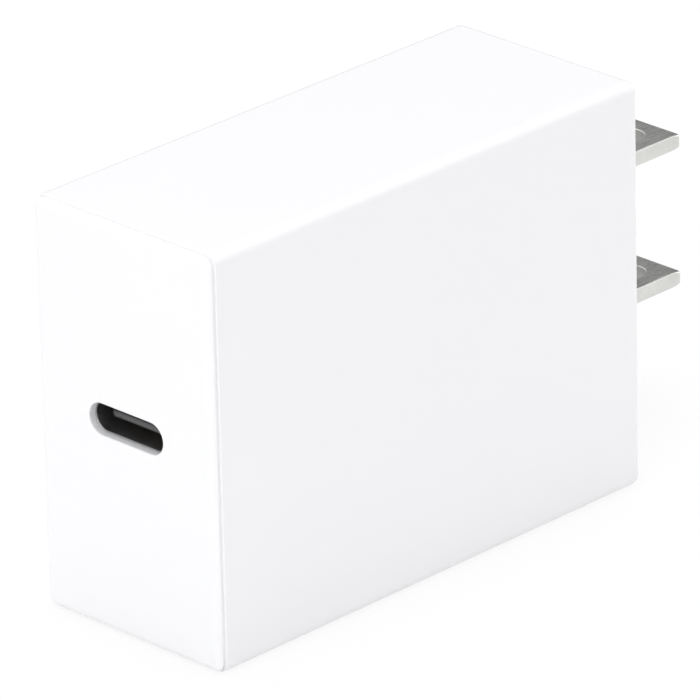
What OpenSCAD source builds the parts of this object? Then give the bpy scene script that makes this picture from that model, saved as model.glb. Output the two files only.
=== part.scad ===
// Wall power adapter with two flat blades and a USB-C outlet.
// The body is a thin upright block: blades at the rear (+X), port at the front (-X).
// Lengths are in millimetres. The origin is under the middle of the whole object.

/* [Body] */
// Length of the body from the port face to the plug face
body_l = 50.2; // [44.7:0.1:60]
// Thickness of the body, side face to side face
body_t = 20.5; // [19.6:0.1:26]
// Height of the body
body_h = 36.7; // [32.9:0.1:48]
// Thickness of the moulded walls of the shell
wall = 1.8; // [1.5:0.1:2]
// Radius of the rounded outer edges
edge_r = 0.9; // [0.4:0.1:1.2]

/* [Front cap] */
// Thickness of the cap's visible flange
flange_t = 0.4; // [0.3:0.1:0.9]
// Width of the parting groove between cap and shell
groove_w = 0.3; // [0.2:0.05:0.6]
// Depth of the parting groove
groove_d = 0.35; // [0.2:0.05:0.6]
// Thickness of the cap's face plate
cap_plate = 1.6; // [1.5:0.1:2.2]
// Length of the skirt that slides into the shell
skirt_l = 3.4; // [2.6:0.1:5]
// Thickness of the skirt
skirt_t = 1.2; // [0.9:0.1:1.5]
// Gap between the skirt and the shell
skirt_fit = 0.1; // [0.05:0.05:0.2]
// Height of the snap ridges on the skirt
snap_h = 0.35; // [0.2:0.05:0.6]

/* [Plug blades] */
// Distance between the middles of the two blades
blade_spacing = 12.7; // [12.4:0.1:13]
// Width of a blade
blade_w = 6.35; // [6.1:0.05:6.6]
// Thickness of a blade
blade_t = 1.4; // [1.4:0.05:1.65]
// Length of a blade in front of the plug face
blade_l = 15.9; // [15.9:0.1:18.3]
// Sideways offset of the blades from the middle of the body
blade_y = 2.9; // [0:0.1:3]
// Height of the blade pair's middle above the middle of the body
blade_z = -1.0; // [-2:0.1:2]
// Diameter of the hole in a blade
blade_hole_d = 3.2; // [2.8:0.1:3.5]
// Distance from the blade's tip to the middle of its hole
blade_hole_to_tip = 3.5; // [3:0.1:5]
// Length of the bevel at a blade's tip
tip_bevel = 0.9; // [0.5:0.1:1.5]
// Radius of the corners at a blade's tip
tip_corner_r = 0.4; // [0.2:0.1:1.5]
// Length of blade held in the holder
holder_l = 5; // [4:0.5:6]
// Gap between a blade and its slot in the shell
slot_fit = 0.15; // [0.05:0.05:0.3]

/* [Outlet port] */
// Width of the port mouth in the cap
mouth_w = 8.5; // [8.5:0.1:8.8]
// Height of the port mouth in the cap
mouth_h = 2.8; // [2.7:0.05:3.05]
// Height of the port above the middle of the body
port_z = 0.6; // [-1:0.1:1]
// Thickness of the lip in front of the receptacle
lip_t = 0.7; // [0.5:0.1:1]
// Inner width of the receptacle's steel shell
port_w = 8.34; // [8.3:0.01:8.4]
// Inner height of the receptacle's steel shell
port_h = 2.56; // [2.5:0.01:2.6]
// Thickness of the steel
port_wall = 0.3; // [0.2:0.05:0.35]
// Length of the receptacle
port_l = 7.35; // [6.8:0.05:8]
// Width of the contact tongue
tongue_w = 6.69; // [6.5:0.01:6.8]
// Thickness of the contact tongue
tongue_t = 0.7; // [0.6:0.05:0.8]
// Distance from the receptacle's rim to the tongue's front edge
tongue_recess = 0.8; // [0.5:0.1:1.2]

/* [Circuit boards] */
// Thickness of the main board
board_t = 1.2; // [1:0.1:1.6]
// Thickness of the port board
port_board_t = 0.8; // [0.6:0.1:1]
// Length of the port board
port_board_l = 10.4; // [9.8:0.1:12]
// Room behind the main board for solder joints and chips
solder_gap = 1.5; // [1.4:0.1:2]
// Gap between a board and what holds it
board_fit = 0.1; // [0.05:0.05:0.2]

/* [Power parts] */
// Width of the transformer core along the height of the body
core_w = 17; // [15:0.5:19]
// Depth of the transformer core along the length of the body
core_d = 10; // [9:0.2:11]
// Diameter of the transformer winding
winding_d = 13; // [12:0.1:14.5]
// Diameter of the input capacitors
bulk_cap_d = 8; // [6.3:0.1:8.8]
// Height of the input capacitors
bulk_cap_h = 12; // [8:0.5:12]
// Diameter of the output capacitors
output_cap_d = 5; // [4:0.1:6.3]
// Height of the output capacitors
output_cap_h = 8.5; // [5.5:0.5:11]
// Diameter of the choke's ring
choke_d = 9; // [8:0.5:10]
// Thickness of the copper heat spreader
spreader_t = 0.4; // [0.3:0.1:0.6]
// Thickness of the thermal pad
pad_t = 0.8; // [0.5:0.1:1.5]

/* [Hidden] */
$fn = 64;
// Small overlap that lets a cut break cleanly through a face
cut = 1;
// Small overlap that joins two shapes of one piece
weld = 0.1;

// Colours of the materials
white_plastic = [0.95, 0.95, 0.96];
black_plastic = [0.10, 0.10, 0.11];
nickel = [0.72, 0.71, 0.68];
copper = [0.80, 0.47, 0.28];
board_green = [0.10, 0.36, 0.22];

// Body faces
x_front = -(body_l + blade_l) / 2;
x_rear = x_front + body_l;
x_mid = (x_front + x_rear) / 2;
z_mid = body_h / 2;
in_y = body_t / 2 - wall;
in_z0 = wall;
in_z1 = body_h - wall;
x_seam = x_front + flange_t + groove_w;
x_back_wall = x_rear - wall;
snap_back = 1;
snap_l_top = 8;
snap_l_side = 14;

// Blades and holder
root_tail = 1.2;
insert_fit = 0.05;
z_blades = z_mid + blade_z;
x_holder = x_back_wall - holder_l;
x_root = x_holder - root_tail;
x_tip = x_rear + blade_l;
holder_w = 2 * (in_y - blade_y - insert_fit);
holder_rim = 3.4;
holder_h = blade_spacing + blade_t + 2 * holder_rim;
holder_corner_r = 1;
lock_hole_d = 2.4;
tip_drop = 0.35;
peg_d = 2;
peg_l = 2;
peg_offset_y = 3;
core_out_w = 5;
core_out_h = 6;
core_out_l = 3;
contact_t = 0.4;
contact_reach = 1.5;
contact_w = 3;

// Main board: its parts face -Y, its solder joints face the far side wall
sheet_t = 0.2;
y_board_back = in_y - sheet_t - solder_gap;
y_board = y_board_back - board_t;
x_board0 = x_seam + skirt_l + 2 * board_fit;
x_board1 = x_root - 2 * board_fit;
rail_h = 1.6;
rail_t = 1.2;
rail_front_l = 5;
rail_rear_l = 1.5;
board_notch = 2;

// Port and its board
port_out_w = port_w + 2 * port_wall;
port_out_h = port_h + 2 * port_wall;
x_port = x_front + lip_t;
z_port = z_mid + port_z;
z_port_board = z_port - port_out_h / 2 - port_board_t;
x_port_board = x_front + cap_plate + board_fit;
port_board_w = 6.3;
tenon_l = 2.4;
tenon_inset = 1;
tenon_x = [x_board0 + tenon_inset, x_port_board + port_board_l - tenon_l - tenon_inset];
leg_w = 1.1;
leg_x = [1.7, 5.4];
leg_tail = 0.5;
leg_clear_l = 0.25;
leg_clear_w = 0.15;
leg_slot_l = leg_w + 2 * leg_clear_l;
leg_slot_w = port_wall + 2 * leg_clear_w;
shelf_l = 2;
shelf_w = 2;
shelf_h = 1.2;
shelf_y = 2;
contact_pitch = 0.5;
contact_count = 12;
pin_w = 0.25;
pin_t = 0.08;
pin_inset = 0.45;
tail_t = 0.15;
tail_l = 1;
tongue_root_l = 1.9;
tongue_step_l = 0.9;
tongue_step_t = 1.5;
pin_l = port_l - tongue_root_l - tongue_step_l - tongue_recess - pin_inset;

// Zones of the main board: outlet parts, transformer, mains parts
part_gap = 0.2;
cap_pitch = 3.5;
out_pitch = 2;
disc_pitch = 5;
safety_pitch = 7.5;
lead_d = 0.6;
lead_fit = 0.1;
lead_tail = 0.8;
x_bulk = x_root - contact_reach - part_gap - bulk_cap_d / 2;
x_zone0 = x_port_board + port_board_l + part_gap;
x_zone1 = x_bulk - bulk_cap_d / 2 - part_gap;
x_core = (x_zone0 + x_zone1) / 2;

// Stack from the near side wall: heat spreader, thermal pad, transformer
y_pad = -in_y + spreader_t;
y_core_top = y_pad + pad_t;
core_h = y_board - y_core_top;
core_leg_d = 7;
core_plate = 3;
bobbin_wall = 0.6;
bobbin_gap = 0.1;
winding_clear = 0.8;
pin_rail_w = (winding_d - core_d) / 2 - bobbin_gap;
pin_rail_l = 14;
choke_zone_h = 6.6;
z_core = in_z0 + choke_zone_h + core_w / 2;
spreader_flange = 6;
spreader_l = 17;
pad_margin = 1;

// Mains column beside the blade holder, from the floor up: as many input capacitors as the height
// takes, with the thermistor above the first and the fuse above the second
ntc_t = 2.8;
ntc_d = 7;
fuse_l = 7.6;
fuse_w = 3.8;
fuse_h = 7.7;
bulk_count = floor((in_z1 - in_z0 - ntc_t - fuse_w - 5 * part_gap) / (bulk_cap_d + part_gap));
bulk_sites = [
  for (i = [0 : bulk_count - 1])
    [
      x_bulk,
      in_z0 + 3 * part_gap + bulk_cap_d / 2 + i * (bulk_cap_d + part_gap)
        + (i > 0 ? ntc_t + part_gap : 0)
        + (i > 1 ? fuse_w + part_gap : 0)
    ]
];
z_ntc = bulk_sites[0][1] + bulk_cap_d / 2 + part_gap + ntc_t / 2;
z_fuse = bulk_sites[1][1] + bulk_cap_d / 2 + part_gap + fuse_w / 2;

// Outlet column beside the cap
x_outlet = x_board0 + part_gap + output_cap_d / 2;
z_out1 = in_z0 + rail_h + part_gap + output_cap_d / 2;
y_cap_d = 7;
y_cap_t = 2.4;
x_y_cap = x_board0 + tenon_inset + disc_pitch / 2;
z_y_cap = z_port + port_out_h / 2 + 2 * part_gap + y_cap_t / 2;
z_out2 = z_y_cap + y_cap_t / 2 + part_gap + output_cap_d / 2;

// Choke under the transformer, safety capacitor above it
choke_ring_t = 3.6;
choke_bore_d = 4.6;
choke_wrap = 0.6;
choke_base_t = 0.8;
choke_rib_w = 2;
z_choke = in_z0 + choke_zone_h / 2 + spreader_t / 2;
choke_shift = 1.5;
x_choke = x_core + choke_shift;
y_choke = y_board - choke_base_t - choke_wrap - choke_d / 2;
safety_l = 10.5;
safety_w = 5;
safety_h = 10.5;
z_safety = z_core + core_w / 2 + part_gap + safety_w / 2;
x_safety = x_zone1 - safety_l / 2;

// Lead positions [x, z], shared by the parts and the holes in the main board
output_sites = [[x_outlet, z_out1], [x_outlet, z_out2]];
lead_sites = concat(
  [for (s = bulk_sites, k = [-1, 1]) [s[0] + k * cap_pitch / 2, s[1]]],
  [for (s = output_sites, k = [-1, 1]) [s[0] + k * out_pitch / 2, s[1]]],
  [for (k = [-1, 1]) [x_bulk + k * disc_pitch / 2, z_ntc]],
  [for (k = [-1, 1]) [x_bulk + k * disc_pitch / 2, z_fuse]],
  [for (k = [-1, 1]) [x_y_cap + k * disc_pitch / 2, z_y_cap]],
  [for (k = [-1, 1]) [x_safety + k * safety_pitch / 2, z_safety]]
);
trafo_pin_d = 0.7;
trafo_pin_pitch = 5;
trafo_pin_x = winding_d / 2 - pin_rail_w / 2;
trafo_pins = [
  for (i = [-1, 1], k = [-1, 0, 1]) [x_core + i * trafo_pin_x, z_core + k * trafo_pin_pitch]
];

// Chips: length along X, width along Z, height off the board
chip_gap = 0.8;
leg_reach = 0.9;
bridge_size = [4.4, 5, 1.3];
bridge_pitch = 3;
opto_size = [4.6, 4, 2.1];
opto_pitch = 2.54;
switch_size = [6, 6, 0.9];
rectifier_size = [4, 5, 1];
input_chip_size = [4, 4, 0.9];
port_chip_size = [5, 5, 0.8];
port_chip_shift = 1;
port_chip_x = x_port_board + port_board_l / 2 + port_chip_shift;
z_bridge = in_z0 + rail_h + part_gap + bridge_size[1] / 2;
z_switch = z_core - chip_gap - switch_size[1] / 2;
x_rectifier = x_core - trafo_pin_x - chip_gap - rectifier_size[0] / 2;
z_rectifier = z_y_cap + lead_d + part_gap + rectifier_size[1] / 2;
x_input_chip = x_core + chip_gap + input_chip_size[0] / 2;
z_input_chip = z_core + trafo_pin_pitch;
x_opto = (x_outlet + output_cap_d / 2 + x_safety - safety_l / 2) / 2;

// ---------- Shared shapes ----------

// Rectangle with rounded corners, centred
module rounded_rect(w, h, r) {
  square([w - 2 * r, h], center = true);
  square([w, h - 2 * r], center = true);
  for (i = [-1, 1], k = [-1, 1])
    translate([i * (w / 2 - r), k * (h / 2 - r)])
      circle(r);
}

// Slot with full-round ends, centred
module stadium(w, h) {
  square([w - h, h], center = true);
  for (i = [-1, 1])
    translate([i * (w - h) / 2, 0])
      circle(d = h);
}

// Strip that runs along X from 0 to l, w wide about the axis, with its two far corners rounded
module nosed_strip(l, w, r) {
  translate([0, -w / 2])
    square([l - r, w]);
  translate([l - r - weld, -w / 2 + r])
    square([r + weld, w - 2 * r]);
  for (i = [-1, 1])
    translate([l - r, i * (w / 2 - r)])
      circle(r);
}

// Block rounded along all its edges: three rounded prisms cut each other
module rounded_block(l, t, h, r) {
  intersection() {
    rotate([90, 0, 90])
      linear_extrude(l, center = true)
        rounded_rect(t, h, r);
    linear_extrude(h, center = true)
      rounded_rect(l, t, r);
    rotate([90, 0, 0])
      linear_extrude(t, center = true)
        rounded_rect(l, h, r);
  }
}

// Whole outer form of the body, cap and shell together
module body_form() {
  translate([x_mid, 0, z_mid])
    rounded_block(body_l, body_t, body_h, edge_r);
}

// Prism that runs along X from x0 over a length, from an outline in Y and Z
module along_x(x0, l) {
  translate([x0, 0, 0])
    rotate([90, 0, 90])
      linear_extrude(l)
        children();
}

// Post that runs along Y from y0 over a height, standing at [x, z]
module along_y(x, z, y0, h) {
  translate([x, y0 + h, z])
    rotate([90, 0, 0])
      linear_extrude(h)
        children();
}

// Box between two corners
module box(a, b) {
  translate(a)
    cube(b - a);
}

// Ridge with a triangular section along Y, or along Z when upright, with its base on z = 0
module snap_ridge(l, h) {
  rotate([90, 0, 0])
    linear_extrude(l, center = true)
      polygon([[-h, -cut / 2], [-h, 0], [0, h], [h, 0], [h, -cut / 2]]);
}

// The four snap ridges around the skirt, grown by a gap for the grooves that take them
module snap_ring(gap) {
  x = x_seam + skirt_l - snap_back;
  y = in_y - skirt_fit;
  z = z_mid - in_z0 - skirt_fit;
  for (k = [0, 180])
    translate([x, 0, z_mid])
      rotate([k, 0, 0])
        translate([0, 0, z])
          snap_ridge(snap_l_top + 2 * gap, snap_h + gap);
  for (k = [90, -90])
    translate([x, 0, z_mid])
      rotate([k, 0, 0])
        translate([0, 0, y])
          snap_ridge(snap_l_side + 2 * gap, snap_h + gap);
}

// ---------- Housing ----------

// Slots in the rear wall for both blades
module blade_slots() {
  for (k = [-1, 1])
    translate([x_rear - wall / 2, blade_y, z_blades + k * blade_spacing / 2])
      cube([wall + 2 * cut, blade_w + 2 * slot_fit, blade_t + 2 * slot_fit], center = true);
}

// Rails that hold the main board's lower and upper edges
module board_rails() {
  y_near = y_board - board_fit;
  y_far = y_board_back + board_fit;
  for (z = [in_z0 - cut / 2, in_z1 - rail_h])
    translate([0, 0, z]) {
      box([x_board0, y_far, 0], [x_board1, in_y + cut / 2, rail_h + cut / 2]);
      box([x_board0, y_near - rail_t, 0], [x_board0 + rail_front_l, y_near, rail_h + cut / 2]);
      box([x_board1 - rail_rear_l, y_near - rail_t, 0], [x_board1, y_near, rail_h + cut / 2]);
    }
}

// Pegs on the rear wall that locate the blade holder
module holder_pegs(gap) {
  for (i = [-1, 1])
    translate([x_back_wall - peg_l - gap, blade_y + i * peg_offset_y, z_blades])
      rotate([0, 90, 0])
        cylinder(d = peg_d + 2 * gap, h = peg_l + gap + cut / 2);
}

// Five-sided housing, open at the front
module main_shell() {
  color(white_plastic)
    difference() {
      union() {
        difference() {
          body_form();
          box([x_front - cut, -body_t, -cut], [x_seam, body_t, body_h + cut]);
          box([x_front, -in_y, in_z0], [x_back_wall, in_y, in_z1]);
        }
        board_rails();
        holder_pegs(0);
      }
      blade_slots();
      snap_ring(skirt_fit);
    }
}

// Face plate with the port mouth, a stepped neck for the parting groove, and a snap-in skirt
module front_cap() {
  neck_t = body_t - 2 * groove_d;
  neck_h = body_h - 2 * groove_d;
  skirt_w = 2 * (in_y - skirt_fit);
  skirt_h = in_z1 - in_z0 - 2 * skirt_fit;
  color(white_plastic) {
    difference() {
      union() {
        intersection() {
          body_form();
          box([x_front, -body_t, 0], [x_front + flange_t, body_t, body_h]);
        }
        along_x(x_front + flange_t / 2, x_seam - x_front - flange_t / 2)
          translate([0, z_mid])
            rounded_rect(neck_t, neck_h, edge_r);
        along_x(x_seam - weld, skirt_l + weld)
          translate([0, z_mid])
            rounded_rect(skirt_w, skirt_h, edge_r);
        snap_ring(0);
      }
      along_x(x_front + cap_plate, skirt_l + cut)
        translate([0, z_mid])
          square([skirt_w - 2 * skirt_t, skirt_h - 2 * skirt_t], center = true);
      along_x(x_front - cut, cap_plate + 2 * cut)
        translate([0, z_port])
          stadium(mouth_w, mouth_h);
      along_x(x_port, cap_plate)
        translate([0, z_port])
          stadium(port_out_w + 2 * board_fit, port_out_h + 2 * board_fit);
    }
    for (i = [-1, 1])
      translate([x_front + cap_plate - weld, i * shelf_y - shelf_w / 2, z_port_board - shelf_h])
        cube([shelf_l + weld, shelf_w, shelf_h]);
  }
}

// ---------- Plug ----------

// One blade lying flat: a bevelled tip with round corners, the socket's hole and a locking hole in the root
module blade(z) {
  bevel = [
    [x_tip - tip_bevel, blade_t / 2 + cut],
    [x_tip - tip_bevel, blade_t / 2],
    [x_tip + cut, blade_t / 2 - tip_drop * (1 + cut / tip_bevel)],
    [x_tip + cut, blade_t / 2 + cut]
  ];
  translate([0, blade_y, z])
    difference() {
      linear_extrude(blade_t, center = true)
        translate([x_root, 0])
          nosed_strip(x_tip - x_root, blade_w, tip_corner_r);
      for (k = [0, 1])
        mirror([0, 0, k])
          rotate([90, 0, 0])
            linear_extrude(blade_w + 2 * cut, center = true)
              polygon(bevel);
      translate([x_tip - blade_hole_to_tip, 0, 0])
        cylinder(d = blade_hole_d, h = blade_t + 2 * cut, center = true);
      translate([x_holder + holder_l / 2, 0, 0])
        cylinder(d = lock_hole_d, h = blade_t + 2 * cut, center = true);
    }
}

module upper_blade() {
  color(nickel)
    blade(z_blades + blade_spacing / 2);
}

module lower_blade() {
  color(nickel)
    blade(z_blades - blade_spacing / 2);
}

// Moulded block around the blades' roots; its pegs fill the locking holes
module blade_holder() {
  color(white_plastic)
    difference() {
      along_x(x_holder, holder_l)
        translate([blade_y, z_blades])
          rounded_rect(holder_w, holder_h, holder_corner_r);
      for (k = [-1, 1])
        translate([x_holder + holder_l / 2, blade_y, z_blades + k * blade_spacing / 2])
          difference() {
            cube([holder_l + 2 * cut, blade_w + 2 * insert_fit, blade_t], center = true);
            cylinder(d = lock_hole_d - 2 * insert_fit, h = blade_t + cut, center = true);
          }
      box(
        [x_holder - cut, blade_y - core_out_w / 2, z_blades - core_out_h / 2],
        [x_holder + core_out_l - peg_l / 2, blade_y + core_out_w / 2, z_blades + core_out_h / 2]
      );
      holder_pegs(insert_fit);
    }
}

// Copper straps welded to the blades' roots and soldered to the edge of the main board
module blade_contacts() {
  x0 = x_root - contact_reach + part_gap / 2;
  strap = [
    [x0, y_board],
    [x0, y_board - contact_w],
    [x_root, blade_y - blade_w / 2 + part_gap],
    [x_holder - part_gap, blade_y - blade_w / 2 + part_gap],
    [x_holder - part_gap, y_board - part_gap],
    [x_board1, y_board - part_gap],
    [x_board1, y_board]
  ];
  color(copper)
    for (k = [-1, 1])
      translate([0, 0, z_blades + k * blade_spacing / 2 + blade_t / 2])
        linear_extrude(contact_t)
          polygon(strap);
}

// ---------- Boards ----------

// Board on edge, drilled for every lead, with notches for the port board's tenons
module main_board() {
  color(board_green)
    difference() {
      box([x_board0, y_board, in_z0], [x_board1, y_board_back, in_z1 - board_fit]);
      for (z = [in_z0, in_z1])
        translate([x_board0, y_board + board_t / 2, z])
          rotate([0, 45, 0])
            cube([board_notch, board_t + cut, board_notch], center = true);
      for (s = lead_sites)
        along_y(s[0], s[1], y_board - cut, board_t + 2 * cut)
          circle(d = lead_d + 2 * lead_fit);
      for (s = trafo_pins)
        along_y(s[0], s[1], y_board - cut, board_t + 2 * cut)
          circle(d = trafo_pin_d + 2 * lead_fit);
      for (x = tenon_x)
        box(
          [x - board_fit, y_board - cut, z_port_board - board_fit],
          [x + tenon_l + board_fit, y_board_back + cut, z_port_board + port_board_t + board_fit]
        );
    }
}

// Small level board under the receptacle, with two tenons through the main board
module port_board() {
  color(board_green)
    translate([0, 0, z_port_board])
      difference() {
        union() {
          box([x_port_board, -port_board_w, 0], [x_port_board + port_board_l, y_board, port_board_t]);
          for (x = tenon_x)
            translate([x, y_board - weld, 0])
              cube([tenon_l, board_t + weld, port_board_t]);
        }
        for (x = leg_x, i = [-1, 1])
          translate([x_port + x + leg_w / 2, i * (port_out_w - port_wall) / 2, -cut])
            linear_extrude(port_board_t + 2 * cut)
              stadium(leg_slot_l, leg_slot_w);
      }
}

// ---------- Receptacle ----------

// Seamless steel tube with four legs through the port board
module port_shell() {
  color(nickel)
    difference() {
      union() {
        along_x(x_port, port_l)
          translate([0, z_port])
            stadium(port_out_w, port_out_h);
        for (x = leg_x, i = [-1, 1])
          translate([x_port + x, i * (port_out_w - port_wall) / 2 - port_wall / 2, z_port_board - leg_tail])
            cube([leg_w, port_wall, z_port - z_port_board + leg_tail]);
      }
      along_x(x_port - cut, port_l + 2 * cut)
        translate([0, z_port])
          stadium(port_w, port_h);
    }
}

// Insulator: a plug of plastic that closes the tube, a thick step, and the thin tongue
module port_tongue() {
  x_end = x_port + port_l;
  x_step = x_end - tongue_root_l;
  nose_r = 0.6;
  color(black_plastic) {
    along_x(x_step, tongue_root_l)
      translate([0, z_port])
        stadium(port_w - 2 * insert_fit, port_h);
    along_x(x_step - tongue_step_l, tongue_step_l + weld)
      translate([0, z_port])
        square([tongue_w, tongue_step_t], center = true);
    translate([x_step, 0, z_port])
      rotate([0, 0, 180])
        linear_extrude(tongue_t, center = true)
          nosed_strip(x_step - x_port - tongue_recess, tongue_w, nose_r);
  }
}

// Two rows of flat contacts on the tongue, and their solder tails behind the receptacle
module port_contacts() {
  x_pin = x_port + tongue_recess + pin_inset;
  x_tail = x_port + port_l;
  tail = [
    [0, z_port - tongue_t / 2],
    [0, z_port_board + port_board_t],
    [tail_l, z_port_board + port_board_t],
    [tail_l, z_port_board + port_board_t + tail_t],
    [tail_t, z_port_board + port_board_t + tail_t],
    [tail_t, z_port - tongue_t / 2]
  ];
  color(copper)
    for (i = [0 : contact_count - 1]) {
      y = (i - (contact_count - 1) / 2) * contact_pitch;
      for (k = [-1, 1])
        translate([x_pin, y - pin_w / 2, z_port + k * (tongue_t + pin_t) / 2 - pin_t / 2])
          cube([pin_l, pin_w, pin_t]);
      translate([x_tail, y + pin_w / 2, 0])
        rotate([90, 0, 0])
          linear_extrude(pin_w)
            polygon(tail);
    }
}

// ---------- Transformer ----------

// Ferrite core with a round middle leg; its ends are open for the winding
module transformer_core() {
  window_h = core_h - 2 * core_plate;
  color([0.2, 0.2, 0.22])
    difference() {
      box(
        [x_core - core_d / 2, y_core_top, z_core - core_w / 2],
        [x_core + core_d / 2, y_board, z_core + core_w / 2]
      );
      along_y(x_core, z_core, y_board - core_plate - window_h, window_h)
        difference() {
          circle(d = winding_d + winding_clear);
          circle(d = core_leg_d);
        }
    }
}

// Spool around the middle leg, standing on two rails beside the core
module transformer_bobbin() {
  y0 = y_core_top + core_plate;
  y1 = y_board - core_plate;
  spool_d = core_leg_d + 2 * bobbin_gap;
  color([0.85, 0.83, 0.75])
    difference() {
      union() {
        for (y = [y0, y1 - bobbin_wall])
          along_y(x_core, z_core, y, bobbin_wall)
            circle(d = winding_d);
        along_y(x_core, z_core, y0, y1 - y0)
          circle(d = spool_d + 2 * bobbin_wall);
        for (i = [-1, 1])
          translate([x_core + i * trafo_pin_x - pin_rail_w / 2, y1 - bobbin_wall, z_core - pin_rail_l / 2])
            cube([pin_rail_w, y_board - y1 + bobbin_wall, pin_rail_l]);
      }
      along_y(x_core, z_core, y0 - cut, y1 - y0 + 2 * cut)
        circle(d = spool_d);
    }
}

// Wound and taped copper between the spool's flanges
module transformer_winding() {
  y0 = y_core_top + core_plate + bobbin_wall;
  h = core_h - 2 * (core_plate + bobbin_wall);
  color([0.93, 0.80, 0.25])
    along_y(x_core, z_core, y0, h)
      difference() {
        circle(d = winding_d - winding_clear);
        circle(d = core_leg_d + 2 * (bobbin_gap + bobbin_wall) + 2 * insert_fit);
      }
}

// Pins from the bobbin's rails through the main board
module transformer_pins() {
  color(nickel)
    for (s = trafo_pins)
      along_y(s[0], s[1], y_board, board_t + lead_tail)
        circle(d = trafo_pin_d);
}

// ---------- Parts with leads ----------

// Pair of round leads through the main board
module leads(x, z, pitch) {
  for (k = [-1, 1])
    along_y(x + k * pitch / 2, z, y_board - weld, board_t + lead_tail + weld)
      circle(d = lead_d);
}

// Can capacitor standing on the board: rolled bead near its base and a stepped lid
module can_capacitor(x, z, d, h, pitch) {
  bead_y = 1.4;
  bead_d = 0.35;
  rim = 0.5;
  translate([x, y_board, z])
    rotate([90, 0, 0])
      rotate_extrude()
        polygon([
          [0, 0],
          [d / 2 - rim, 0],
          [d / 2, rim],
          [d / 2, bead_y - bead_d],
          [d / 2 - bead_d, bead_y],
          [d / 2, bead_y + bead_d],
          [d / 2, h - rim],
          [d / 2 - rim, h],
          [d / 2 - 2 * rim, h],
          [d / 2 - 2 * rim, h - rim / 2],
          [0, h - rim / 2]
        ]);
  leads(x, z, pitch);
}

module bulk_capacitors() {
  color([0.16, 0.17, 0.22])
    for (s = bulk_sites)
      can_capacitor(s[0], s[1], bulk_cap_d, bulk_cap_h, cap_pitch);
}

module output_capacitors() {
  color([0.75, 0.76, 0.78])
    for (s = output_sites)
      can_capacitor(s[0], s[1], output_cap_d, output_cap_h, out_pitch);
}

// Moulded box on the board with two leads
module boxed_part(x, z, l, w, h, pitch) {
  box([x - l / 2, y_board - h, z - w / 2], [x + l / 2, y_board, z + w / 2]);
  leads(x, z, pitch);
}

module safety_capacitor() {
  color([0.88, 0.75, 0.15])
    boxed_part(x_safety, z_safety, safety_l, safety_w, safety_h, safety_pitch);
}

module fuse() {
  color([0.35, 0.20, 0.12])
    boxed_part(x_bulk, z_fuse, fuse_l, fuse_w, fuse_h, disc_pitch);
}

// Dipped disc standing on edge, with two leads
module disc_part(x, z, d, t) {
  translate([x, y_board - d / 2, z])
    cylinder(d = d, h = t, center = true);
  for (k = [-1, 1])
    along_y(x + k * disc_pitch / 2, z, y_board - d / 2, d / 2 + board_t + lead_tail)
      circle(d = lead_d);
}

module y_capacitor() {
  color([0.15, 0.35, 0.70])
    disc_part(x_y_cap, z_y_cap, y_cap_d, y_cap_t);
}

module thermistor() {
  color([0.12, 0.30, 0.14])
    disc_part(x_bulk, z_ntc, ntc_d, ntc_t);
}

// ---------- Choke ----------

module choke_core() {
  color([0.25, 0.45, 0.30])
    translate([x_choke, y_choke, z_choke])
      linear_extrude(choke_ring_t, center = true)
        difference() {
          circle(d = choke_d);
          circle(d = choke_bore_d);
        }
}

// Two coils, each a sleeve wrapped around its own side of the ring
module choke_winding() {
  coil_angle = 130;
  color(copper)
    for (start = [-coil_angle / 2, 180 - coil_angle / 2])
      translate([x_choke, y_choke, z_choke])
        rotate([0, 0, start])
          rotate_extrude(angle = coil_angle)
            difference() {
              translate([choke_bore_d / 2 - choke_wrap, -choke_ring_t / 2 - choke_wrap])
                square([(choke_d - choke_bore_d) / 2 + 2 * choke_wrap, choke_ring_t + 2 * choke_wrap]);
              translate([choke_bore_d / 2 - insert_fit, -choke_ring_t / 2])
                square([(choke_d - choke_bore_d) / 2 + 2 * insert_fit, choke_ring_t]);
            }
}

// Plate under the ring with a rib that carries it clear of the board
module choke_base() {
  w = choke_ring_t + 2 * choke_wrap;
  color(black_plastic) {
    box(
      [x_choke - choke_d / 2, y_board - choke_base_t, z_choke - w / 2],
      [x_choke + choke_d / 2, y_board, z_choke + w / 2]
    );
    box(
      [x_choke - choke_rib_w / 2, y_board - choke_base_t - choke_wrap, z_choke - choke_ring_t / 2],
      [x_choke + choke_rib_w / 2, y_board, z_choke + choke_ring_t / 2]
    );
  }
}

// ---------- Chips ----------

// Moulded package with a waist line around its sides; its base is at y = 0 and it rises along -Y
module package(size) {
  taper = 0.15;
  l = size[0];
  h = size[2];
  outline = [
    [-l / 2 + taper, 0],
    [-l / 2, h / 2],
    [-l / 2 + taper, h],
    [l / 2 - taper, h],
    [l / 2, h / 2],
    [l / 2 - taper, 0]
  ];
  rotate([180, 0, 0])
    linear_extrude(size[1], center = true)
      polygon(outline);
}

// Two gull-wing legs on each side of a package
module gull_legs(size, pitch) {
  t = 0.2;
  x0 = size[0] / 2;
  y1 = size[2] / 2;
  leg = [
    [x0 - t, y1],
    [x0 + leg_reach / 2, y1],
    [x0 + leg_reach / 2, t],
    [x0 + leg_reach, t],
    [x0 + leg_reach, 0],
    [x0 + leg_reach / 2 - t, 0],
    [x0 + leg_reach / 2 - t, y1 - t],
    [x0 - t, y1 - t]
  ];
  for (i = [-1, 1], k = [0, 1])
    mirror([k, 0, 0])
      translate([0, 0, i * pitch / 2])
        rotate([180, 0, 0])
          linear_extrude(2 * t, center = true)
            polygon(leg);
}

// A chip on the solder side of the main board
module back_chip(x, z, size) {
  translate([x, y_board_back, z])
    rotate([0, 0, 180])
      package(size);
}

module optocoupler() {
  color(black_plastic)
    translate([x_opto, y_board, z_safety]) {
      package(opto_size);
      gull_legs(opto_size, opto_pitch);
    }
}

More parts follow.
